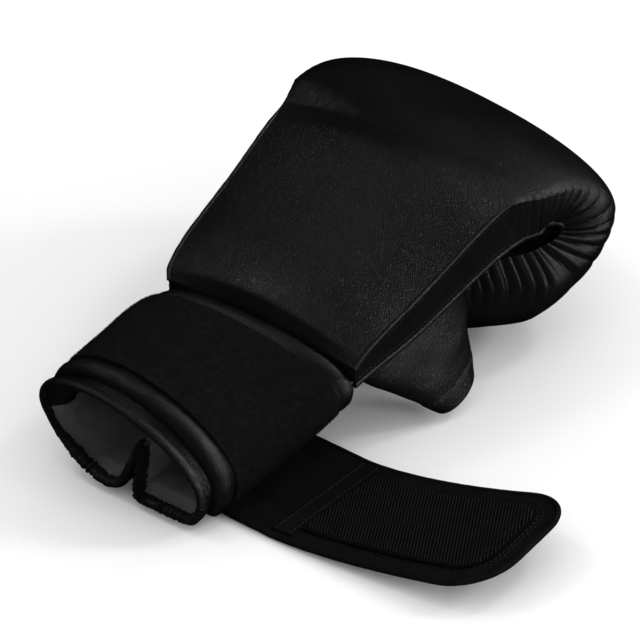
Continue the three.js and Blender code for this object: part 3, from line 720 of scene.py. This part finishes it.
def cuff_sheet(name, stations, outer, inner, columns):
    return shell(name, cuff_layer(stations, outer, columns), cuff_layer(stations, inner, columns))


BINDING_REACH = 2.5
PILE_ENDS = (20, 13)
arc_columns = slice(FIRST, LAST + 1)
pile_columns = slice(FIRST + PILE_ENDS[0], LAST - PILE_ENDS[1])
fold_columns = list(range(LAST + 1, LEG * 2 + ARC)) + list(range(0, FIRST))
cuff = shell("cuff_leather",
             cuff_layer(cuff_stations, lambda at: PAD_IN + pad_thickness(at), arc_columns, True),
             cuff_layer(cuff_stations, PAD_IN, arc_columns))
join(cuff, "cuff_pad")
pile_stations = np.linspace(END_ROLL, 1 - END_ROLL, 40)
pile_low = PAD_IN + CUFF_PADDING + GAP
pile = cuff_sheet("loop_pile", pile_stations, pile_low + LOOP_PILE, pile_low, pile_columns)
join(pile, "loop_patch")
rim_stations = np.concatenate([np.linspace(0, 0.8, 16),
                               np.linspace(0.81, RIM_END + BINDING_REACH / CUFF_LENGTH, 34)])
rim = cuff_sheet("rim_leather", rim_stations, RIM_OUT, GAP, arc_columns)
join(rim, "cuff_rim")
gusset = cuff_sheet("gusset_leather", rim_stations, RIM_OUT, GAP, fold_columns)
join(gusset, "palm_gusset")
lining = shell("satin_lining", cuff_layer(rim_stations, 0),
               cuff_layer(rim_stations, -LINING, wrinkled=True), ring=True)
join(lining, "cuff_lining")

# %% Black facing inside the mouth, over the lining
def in_glove(point):
    """A point of the scene as one of the glove's own frame."""
    return (np.array(point) / MM - GLOVE_AT) @ turn


FACING = {"from": 0.87, "left_of": -10, "over": 3}


def is_facing(point):
    x, y, z = in_glove(point)
    at = (-y - WRIST_GAP) / CUFF_LENGTH
    over = z + CUFF_HEIGHT * cuff_section(at)["sink"]
    return at > FACING["from"] and x < FACING["left_of"] and over > FACING["over"]


facing = [is_facing(face.center) for face in lining.data.polygons]
for face, black in zip(lining.data.polygons, facing):
    face.material_index = int(black)
print("facing faces:", sum(facing))

# %% Gathered binding at the cuff's mouth
mouth_at = 1 + (RIM_LENGTH + GAP + BINDING_RADIUS) / CUFF_LENGTH
mouth_ring = cuff_ring(mouth_at, (RIM_OUT - LINING) / 2)
steps = np.linspace(0, len(mouth_ring), len(mouth_ring) * 5, endpoint=False)
closed_ring = np.vstack([mouth_ring, mouth_ring[:1]])
fine_ring = np.stack([np.interp(steps, np.arange(len(closed_ring)), column) for column in closed_ring.T], 1)
share = steps / len(mouth_ring)
lobes = 1 - ease(share, 0.26, 0.34) * (1 - ease(share, 0.72, 0.8))
folds = np.array([0.22 - 0.3 * abs(wander(82, k * 0.13)) + 0.3 * wander(81, k * 0.31)
                  for k in range(len(fine_ring))])
gathers = BINDING_RADIUS * MM * (0.8 + lobes * (0.14 + folds))
fine_ring = settle(fine_ring, gathers.max() / MM)
binding = cord("mouth_binding", world(fine_ring), gathers, (0, 1, 0), closed=True, sides=18, squash=1.8)
join(binding, "cuff_binding")
print("binding faces:", len(binding.data.polygons))

# %% [markdown]
# The pile is a felt of fine loops. Short pointed fibres, each a three-sided spike, stand on its
# face in one joined mesh and lean every way, so its edge and its surface look fuzzy in any light.

# %% Pile fibres
FIBRES = {"count": 24000, "length": 1.1, "width": 0.13, "spread": 0.55, "seed": 7}


def fibres(name, grid, count, length, width, spread, seed):
    """One mesh of spikes over a grid of points, at even random places."""
    rng = np.random.default_rng(seed)
    rows, columns = grid.shape[:2]
    i, j = rng.uniform(0, rows - 1.001, count), rng.uniform(0, columns - 1.001, count)
    a, b = i.astype(int), j.astype(int)
    s, t = (i - a)[:, None], (j - b)[:, None]
    base = ((grid[a, b] * (1 - t) + grid[a, b + 1] * t) * (1 - s)
            + (grid[a + 1, b] * (1 - t) + grid[a + 1, b + 1] * t) * s)
    down, across = grid[a + 1, b] - grid[a, b], grid[a, b + 1] - grid[a, b]
    normal = unit(np.cross(across, down))
    if (normal * (base - grid.reshape(-1, 3).mean(0))).sum() < 0:
        normal = -normal
    lean = unit(normal + rng.normal(0, spread, (count, 3)))
    side = unit(np.cross(lean, rng.normal(0, 1, (count, 3))))
    other = np.cross(lean, side)
    foot = base - normal * 0.1 * MM
    corners = [foot + (side * cos(w) + other * sin(w)) * width * MM for w in (0, 2 * pi / 3, 4 * pi / 3)]
    tip = base + lean * rng.uniform(0.5, 1, (count, 1)) * length * MM
    points = np.stack([*corners, tip], 1).reshape(-1, 3)
    faces = [(k + a, k + b, k + 3) for a, b in ((0, 1), (1, 2), (2, 0)) for k in range(0, 4 * count, 4)]
    return join(body(name, points, faces, sharp=180))


pile_face = np.array(cuff_layer(pile_stations, pile_low + LOOP_PILE, pile_columns))
pile_fibres = fibres("pile_fibres", pile_face, **FIBRES)
print("pile fibres:", len(pile_fibres.data.polygons) // 3)

# %% [markdown]
# The strap is sewn on under the cuff and lies open, hooks up. It is flat on the surface as far as
# its cross tape. Beyond the tape it sways towards the fingers and its free end curls up.

# %% Strap
STRAP_CURVE = 1.5
CLOTH_PAST = 1.2
spin = np.array([[cos(STRAP_TURN), -sin(STRAP_TURN)], [sin(STRAP_TURN), cos(STRAP_TURN)]])


def strap_middle(along, across):
    share = max(along - TAPE_START, 0) / (STRAP_LENGTH - TAPE_START)
    raised = STRAP_LIFT * (0.8 + 0.2 * across / (STRAP_WIDTH / 2)) * share ** STRAP_CURVE
    return np.array([along, across + STRAP_SWAY * share ** STRAP_CURVE, raised])


def strap_point(along, across, up):
    """A point over the strap, as a point of the scene in metres."""
    point = strap_middle(along, across)
    forward = strap_middle(along + 1, across) - point
    sideways = strap_middle(along, across + 1) - point
    normal = np.cross(forward, sideways)
    point = point + normal / np.linalg.norm(normal) * up
    flat = spin @ point[:2] + np.array(STRAP_ROOT) + GLOVE_AT[:2]
    return np.array([flat[0], flat[1], point[2]]) * MM


def strap_half(along, margin):
    half, corner = STRAP_WIDTH / 2 - margin, STRAP_CORNER - margin
    past = min(max(along - (STRAP_LENGTH - margin - corner), 0), corner)
    return half - corner + sqrt(corner ** 2 - past ** 2)


def strap_layer(start, margin, up):
    end, corner = STRAP_LENGTH - margin, STRAP_CORNER - margin
    stations = np.concatenate([np.linspace(start, end - corner, 70),
                               end - corner + corner * np.sin(np.linspace(0.08, pi / 2, 14))])
    return [[strap_point(a, s * strap_half(a, margin), up) for s in np.linspace(-1, 1, 40)] for a in stations]


tape_low = STRAP_THICKNESS + GAP
hook_top = tape_low + HOOK_PILE
strap = shell("strap_cloth", strap_layer(0, -CLOTH_PAST, STRAP_THICKNESS), strap_layer(0, -CLOTH_PAST, 0))
hooks = shell("hook_field", strap_layer(TAPE_END, STRAP_MARGIN, hook_top),
              strap_layer(TAPE_END, STRAP_MARGIN, tape_low))
join(strap, "strap")
join(hooks, "hook_patch")
print("strap faces:", len(strap.data.polygons))

# %% [markdown]
# The hooks stand in slanted rows. Each row is a thin ridge with a notched top, which catches light
# as a row of hooks does, for far fewer faces than single hooks would take.

# %% Rows of hooks
HOOK = {"pitch": 1.7, "slope": -0.55, "half": 0.42, "edge": 0.6, "reach": 28, "past": 60}


def hook_lines():
    """Diagonal lines over the hook field, cut off at its edge."""
    lines = []
    low, high = TAPE_END + HOOK["edge"], STRAP_LENGTH - STRAP_MARGIN - HOOK["edge"]
    for start in np.arange(TAPE_END - HOOK["past"], STRAP_LENGTH + HOOK["past"], HOOK["pitch"]):
        run = [(start + HOOK["slope"] * w, w) for w in np.linspace(-HOOK["reach"], HOOK["reach"], 60)]
        inside = [(a, w) for a, w in run if low < a < high
                  and abs(w) < strap_half(a, STRAP_MARGIN) - HOOK["edge"]]
        if len(inside) > 3:
            lines.append(inside)
    return lines


points, faces = [], []
for line in hook_lines():
    for k, (a, w) in enumerate(line):
        notch = 0.45 + 0.5 * (k % 2)
        for out, up in ((-HOOK["half"], -0.1), (0, notch), (HOOK["half"], -0.1)):
            points.append(strap_point(a + out, w, hook_top + up))
        if k:
            n = len(points) - 6
            faces += [(n, n + 1, n + 4, n + 3), (n + 1, n + 2, n + 5, n + 4)]
hook_rows = join(body("hook_rows", points, faces, sharp=30))
print("hook rows:", len(hook_lines()))

# %% The strap's bound edge and cross tape
def strap_edge(out):
    """The strap's outline moved out by a distance, from root to root round the tip."""
    half, corner = STRAP_WIDTH / 2, STRAP_CORNER
    side = [(a, half + out) for a in np.linspace(0, STRAP_LENGTH - corner, 110)]
    bend = [(STRAP_LENGTH - corner + (corner + out) * cos(a), half - corner + (corner + out) * sin(a))
            for a in np.linspace(pi / 2, 0, 24)[1:]]
    outline = side + bend
    tip = [(STRAP_LENGTH + out, w) for w in np.linspace(half - corner, corner - half, 14)[1:-1]]
    return outline + tip + [(a, -w) for a, w in outline[::-1]]


edge_out = 1.5 * GAP + EDGE_RADIUS
edge_line = [strap_point(a, w, EDGE_RADIUS + FLOOR_CLEAR) for a, w in strap_edge(edge_out)]
edge_sizes = [EDGE_RADIUS * MM * (1 + 0.05 * wander(91, k * 0.4)) for k in range(len(edge_line))]
strap_binding = cord("strap_edge_binding", edge_line, edge_sizes, (0, 0, 1), sides=14)
join(strap_binding, "strap_binding")
tape_half = STRAP_WIDTH / 2 - 1
tape_top = tape_low + TAPE_THICKNESS


def tape_layer(up):
    return [[strap_point(a, w, up + 0.25 * up / tape_top * wander(95, w * 0.3, a * 0.2))
             for w in np.linspace(-tape_half, tape_half, 50)]
            for a in np.linspace(TAPE_START, TAPE_END - 0.5, 12)]


tape = join(shell("cross_tape", tape_layer(tape_top), tape_layer(tape_low)), "strap_tape")
print("strap reaches x =", round(float(strap_point(STRAP_LENGTH, 0, 0)[0]) * 1000), "mm")

# %% [markdown]
# Thread holds all of this. Each stitch is a small spindle, sunk half into the leather, and all the
# stitches of a seam are one mesh made from arrays: thousands of separate objects would be slow.

# %% Stitches
def spindle(sides=6, rings=5):
    """Points and faces of one stitch of length and thickness 1, along X."""
    along = np.linspace(-0.5, 0.5, rings)
    thick = np.sqrt(np.maximum(1 - (2 * along) ** 2 * 0.9, 0.05)) * 0.5
    angle = np.arange(sides) * 2 * pi / sides
    points = np.array([(a, t * cos(b), t * sin(b)) for a, t in zip(along, thick) for b in angle])
    faces = [(i + j, i + (j + 1) % sides, i + sides + (j + 1) % sides, i + sides + j)
             for i in range(0, (rings - 1) * sides, sides) for j in range(sides)]
    return points, faces + [tuple(range(sides))[::-1], tuple(range((rings - 1) * sides, rings * sides))]


def point_at(run, values, place):
    """The point or direction at one distance along a line."""
    return np.array([np.interp(place, run, column) for column in values.T])


def stitch_rows(name, rows, length, pitch, thickness):
    """One mesh of stitches along rows. A row is a list of points and a list of normals, in metres."""
    shape, pattern = spindle()
    points, faces = [], []
    for line, normals in rows:
        line, normals = np.asarray(line), np.asarray(normals)
        run = np.concatenate([[0], np.cumsum(np.linalg.norm(np.diff(line, axis=0), axis=1))])
        for at in np.arange(pitch * MM / 2, run[-1], pitch * MM):
            centre, ahead, back = (point_at(run, line, place) for place in (at, at + 0.3 * MM, at - 0.3 * MM))
            x = (ahead - back) / np.linalg.norm(ahead - back)
            y = np.cross(point_at(run, normals, at), x)
            y /= np.linalg.norm(y)
            z = np.cross(x, y)
            local = shape * np.array([length, thickness, thickness]) * MM
            start = sum(len(p) for p in points)
            points.append(centre + local @ np.array([x, y, z]))
            faces += [tuple(start + i for i in face) for face in pattern]
    return join(body(name, np.concatenate(points), faces, sharp=80))


UNDER_RIDGE = 2.2
OVER_PALM = 2.4
STRAP_ROWS = (4.2, 6.4)
TAPE_INSETS = (1.6, 2.2)
THREAD_LIFT = 0.1
strip_run = np.linspace(0.01, STRIP_REACH - 0.01, 120)
end_shares = np.linspace(0.08, 0.92, 20)
end_run = 0.97 * (STRIP_REACH + STRIP_SLANT * (1 - 2 * end_shares))


def on_strip(side, out, run, rise):
    """A row of stitches on a side strip, and the way that they face."""
    line = side_line(side, out, run, rise)
    return line, [turn @ np.array([side, 0, 0], float)] * len(line)


def on_strap(outline, up):
    line = [strap_point(a, w, up + THREAD_LIFT) for a, w in outline]
    return line, [np.array([0, 0, 1.0])] * len(line)


seams = ((0.08, strip_run, lambda section, k: section["wall"] - UNDER_RIDGE),
         (0.08, strip_run, lambda section, k: OVER_PALM),
         (0.12, end_run, lambda section, k: mix(SEAM_CLEAR, section["wall"] - GAP, end_shares[k])))
leather_thread = stitch_rows("leather_thread", [on_strip(side, *seam) for seam in seams for side in (1, -1)],
                             length=2.2, pitch=3.0, thickness=0.45)
hem_points = thumb_ring(HEM_SHARE, 0)
hem_normals = list(unit(hem_points - hem_points.mean(0)))
hem_rows = [(np.vstack([hem_points, hem_points[:1]]), hem_normals + hem_normals[:1])]
hem_thread = stitch_rows("hem_thread", hem_rows, length=2.0, pitch=2.8, thickness=0.45)
end_row = [(STRAP_LENGTH - STRAP_MARGIN - 5, w) for w in np.linspace(-20, 20, 20)]
strap_rows = [on_strap(strap_edge(-inset)[8:-8], STRAP_THICKNESS) for inset in STRAP_ROWS]
strap_rows += [on_strap(end_row, hook_top)]
strap_rows += [on_strap([(a, w) for w in np.linspace(-tape_half, tape_half, 30)], tape_top)
               for a in (TAPE_START + TAPE_INSETS[0], TAPE_END - TAPE_INSETS[1])]
strap_thread = stitch_rows("strap_thread", strap_rows, length=2.2, pitch=3.0, thickness=0.5)
print("stitch faces:", sum(len(o.data.polygons) for o in (leather_thread, hem_thread, strap_thread)))

# %% [markdown]
# Materials are built from nodes. A node's output is wrapped in a small class, so that sums and
# products of masks read like arithmetic, and every other node comes from one method.

# %% A socket that can be added and multiplied
class Wire:
    """One output socket, on which arithmetic adds Math nodes."""

    def __init__(self, finish, socket):
        self.finish, self.socket = finish, socket

    def math(self, operation, *values, swap=False):
        inputs = [self, *values]
        if swap:
            inputs.reverse()
        return self.finish.node("ShaderNodeMath", {"operation": operation}, dict(enumerate(inputs)))

    def __add__(self, other):
        return self.math("ADD", other)

    def __sub__(self, other):
        return self.math("SUBTRACT", other)

    def __rsub__(self, other):
        return self.math("SUBTRACT", other, swap=True)

    def __mul__(self, other):
        return self.math("MULTIPLY", other)

    __radd__ = __add__
    __rmul__ = __mul__


class Finish:
    """A material of this glove, with one Principled shader and object coordinates in metres."""

    def __init__(self, name, **constants):
        self.material = bpy.data.materials.new(name)
        self.material.use_nodes = True
        self.tree = self.material.node_tree
        self.shader = self.tree.nodes["Principled BSDF"]
        for socket, value in constants.items():
            self.shader.inputs[socket.replace("_", " ")].default_value = value
        self.place = self.node("ShaderNodeTexCoord", output="Object")

    def node(self, kind, settings=None, inputs=None, output=0):
        """A node of a type, with its settings set first, and then values or links in its sockets."""
        node = self.tree.nodes.new(kind)
        for key, value in (settings or {}).items():
            if key == "stops":
                while len(node.color_ramp.elements) < len(value):
                    node.color_ramp.elements.new(0.5)
                for stop, (position, color) in zip(node.color_ramp.elements, value):
                    stop.position, stop.color = position, color
            else:
                setattr(node, key, value)
        for key, value in (inputs or {}).items():
            if isinstance(value, Wire):
                self.tree.links.new(value.socket, node.inputs[key])
            else:
                node.inputs[key].default_value = value
        return Wire(self, node.outputs[output])

    def feed(self, socket, wire):
        self.tree.links.new(wire.socket, self.shader.inputs[socket])

    def noise(self, scale, detail=2.0, place=None):
        sockets = {"Vector": place or self.place, "Scale": scale, "Detail": detail}
        return self.node("ShaderNodeTexNoise", None, sockets)

    def cells(self, scale):
        settings = {"feature": "DISTANCE_TO_EDGE"}
        return self.node("ShaderNodeTexVoronoi", settings, {"Vector": self.place, "Scale": scale})

    def wave(self, direction, scale):
        settings = {"bands_direction": direction}
        return self.node("ShaderNodeTexWave", settings, {"Vector": self.place, "Scale": scale})

    def stretched(self, x, y, z):
        return self.node("ShaderNodeMapping", None, {"Vector": self.place, "Scale": (x, y, z)})

    def shades(self, wire, dark, light):
        """Colour between two shades, by a mask."""
        stops = [(0.25, (*dark, 1)), (0.75, (*light, 1))]
        return self.node("ShaderNodeValToRGB", {"stops": stops}, {"Fac": wire}, "Color")

    def relief(self, height, distance, strength=1.0):
        sockets = {"Height": height, "Distance": distance, "Strength": strength}
        self.feed("Normal", self.node("ShaderNodeBump", None, sockets))


def grey(value):
    return (value, value, value)


def coat(material, *pieces):
    """Gives every one of these pieces the same material."""
    for piece in pieces:
        piece.data.materials.append(material)
    print(material.name, "on", len(pieces), "pieces")


# %% [markdown]
# The leather is nearly black with a satin shine. Its grain is made of pebbles under a millimetre
# wide, shallow creases a few millimetres long, and a slow change in shine where it was handled.

# %% Leather
def leather(name, shine=0.34, crease=1.0):
    finish = Finish(name, Specular_IOR_Level=0.5)
    pebbles = finish.cells(1100)
    grain = finish.node("ShaderNodeMapRange", None, {"Value": pebbles, "From Max": 0.22})
    fine = finish.noise(4200, 2)
    folds = finish.noise(95, 4, finish.stretched(1, 0.55, 1))
    lines = (folds - 0.5).math("ABSOLUTE")
    sharp = finish.node("ShaderNodeMapRange", None, {"Value": lines, "From Max": 0.035})
    handled = finish.noise(18, 3)
    finish.feed("Base Color", finish.shades(handled, grey(0.003), (0.0055, 0.0053, 0.005)))
    finish.feed("Roughness", handled * 0.14 + fine * 0.08 + (shine - 0.11))
    finish.relief(grain * 0.7 + fine * 0.25 + sharp * (0.35 * crease), 0.00015, 0.7)
    return finish.material


black_leather = leather("black_leather")
palm_leather = leather("palm_leather", shine=0.42, crease=2.0)
coat(black_leather, back_leather, *strips, *ridges, *palm_bindings, cuff, rim, thumb, binding)
coat(palm_leather, palm, gusset)

# %% [markdown]
# The other finishes differ in shine more than in colour. Satin has fine ribs and a soft gloss, pile
# and hooks give back almost nothing, the rows of hooks carry a painted highlight, a lighter colour
# for their crests, and the webbing's weave is the product of two waves.

# %% Lining, pile, hooks and webbing
def satin():
    finish = Finish("grey_satin", Sheen_Weight=0.15)
    rib = finish.noise(900, 2, finish.stretched(0.08, 1, 1))
    soft = finish.noise(60, 3)
    finish.feed("Base Color", finish.shades(soft, (0.024, 0.024, 0.025), (0.055, 0.055, 0.057)))
    finish.feed("Roughness", soft * 0.2 + 0.38)
    finish.relief(rib * 0.5 + soft * 1.5, 0.0004, 0.7)
    return finish.material


def fuzz(name, scale, dark, light, height):
    finish = Finish(name, Specular_IOR_Level=0.08)
    tufts = finish.noise(scale, 4)
    clumps = finish.noise(scale / 5, 3)
    finish.feed("Base Color", finish.shades(tufts * 0.6 + clumps * 0.4, dark, light))
    finish.feed("Roughness", tufts * 0.1 + 0.88)
    finish.relief(tufts + clumps * 0.6, height, 1.0)
    return finish.material


def webbing(name, scale):
    finish = Finish(name, Specular_IOR_Level=0.12)
    soft = finish.noise(120, 3)
    finish.feed("Base Color", finish.shades(soft, grey(0.002), grey(0.0042)))
    finish.feed("Roughness", soft * 0.12 + 0.72)
    finish.relief(finish.wave("X", scale) * finish.wave("Y", scale) + soft * 0.6, 0.0003, 0.7)
    return finish.material


coat(satin(), lining)
coat(black_leather, lining)
coat(fuzz("loop_fuzz", 1400, grey(0.002), grey(0.009), 0.0009), pile, pile_fibres)
coat(fuzz("hook_fuzz", 1200, grey(0.001), grey(0.004), 0.0006), hooks)
# The rows of hooks are coloured lighter than the hook field: a painted highlight on their crests.
coat(fuzz("hook_tips_painted_highlight", 900, grey(0.004), grey(0.016), 0.0003), hook_rows)
coat(webbing("strap_weave", 260), strap, strap_binding, tape)
thread = Finish("black_thread", Roughness=0.55)
thread.feed("Base Color", thread.shades(thread.noise(2500), grey(0.003), grey(0.008)))
coat(thread.material, leather_thread, hem_thread, strap_thread)

# %% [markdown]
# A pale floor, soft lights and a long lens from the photograph's side. The camera stands two metres
# away, so the glove is seen almost without perspective.

# %% Floor, lights and camera
LIT_POINT = Vector((0, 0, 0.05))


def soft_light(name, place, size, power):
    light = bpy.data.lights.new(name, "AREA")
    light.shape, light.size, light.energy = "DISK", size, power
    lamp = bpy.data.objects.new(name, light)
    lamp.location = place
    lamp.rotation_euler = (LIT_POINT - Vector(place)).to_track_quat("-Z", "Y").to_euler()
    bpy.context.scene.collection.objects.link(lamp)


FLOOR_HALF = 6
FLOOR_DROP = 0.0002
floor_mesh = bpy.data.meshes.new("floor")
corners = [(FLOOR_HALF * x, FLOOR_HALF * y, 0) for x, y in ((-1, -1), (1, -1), (1, 1), (-1, 1))]
floor_mesh.from_pydata(corners, [], [(0, 1, 2, 3)])
floor = bpy.data.objects.new("floor", floor_mesh)
floor.location.z = -FLOOR_DROP
bpy.context.scene.collection.objects.link(floor)
paper = Finish("pale_paper", Roughness=0.9)
paper.feed("Base Color", paper.shades(paper.noise(3), grey(0.86), grey(0.9)))
floor_mesh.materials.append(paper.material)

scene_world = bpy.data.worlds.new("studio")
bpy.context.scene.world = scene_world
scene_world.use_nodes = True
background = scene_world.node_tree.nodes["Background"]
background.inputs["Color"].default_value = (1, 1, 1, 1)
background.inputs["Strength"].default_value = 0.95
scene_world.cycles_visibility.glossy = False
floor.visible_glossy = False
soft_light("back_right", (1.0, 1.15, 0.9), 0.35, 6.5)
soft_light("back_top", (0.42, 0.9, 1.15), 0.26, 2.8)
soft_light("front_right", (1.5, 0.15, 0.45), 0.5, 5.5)
soft_light("overhead_left", (-0.7, -0.25, 1.2), 0.3, 1.5)

AZIMUTH = radians(37.8)
ELEVATION = radians(34.9)
DISTANCE = 2.16
FOCAL_PIXELS = 4440
PHOTO_SIDE = 640
SEAM_PIXEL = (356, 384)
seam_end = Vector(world([(WRIST_WIDTH / 2, 0, 0)])[0])
away = Vector((sin(AZIMUTH) * cos(ELEVATION), -cos(AZIMUTH) * cos(ELEVATION), sin(ELEVATION)))
right = Vector((cos(AZIMUTH), sin(AZIMUTH), 0))
above = away.cross(right)
lens = bpy.data.cameras.new("camera")
lens.sensor_width = 36
lens.lens = FOCAL_PIXELS / PHOTO_SIDE * lens.sensor_width
lens.clip_end = 50
camera = bpy.data.objects.new("camera", lens)
camera.location = seam_end + away * DISTANCE
per_pixel = DISTANCE / FOCAL_PIXELS
aim = (seam_end + right * (PHOTO_SIDE / 2 - SEAM_PIXEL[0]) * per_pixel
       + above * (SEAM_PIXEL[1] - PHOTO_SIDE / 2) * per_pixel)
camera.rotation_euler = (aim - camera.location).to_track_quat("-Z", "Y").to_euler()
bpy.context.scene.collection.objects.link(camera)
bpy.context.scene.camera = camera
bpy.context.scene.view_settings.view_transform = "Standard"
print("camera azimuth and elevation:", round(degrees(AZIMUTH), 1), round(degrees(ELEVATION), 1))
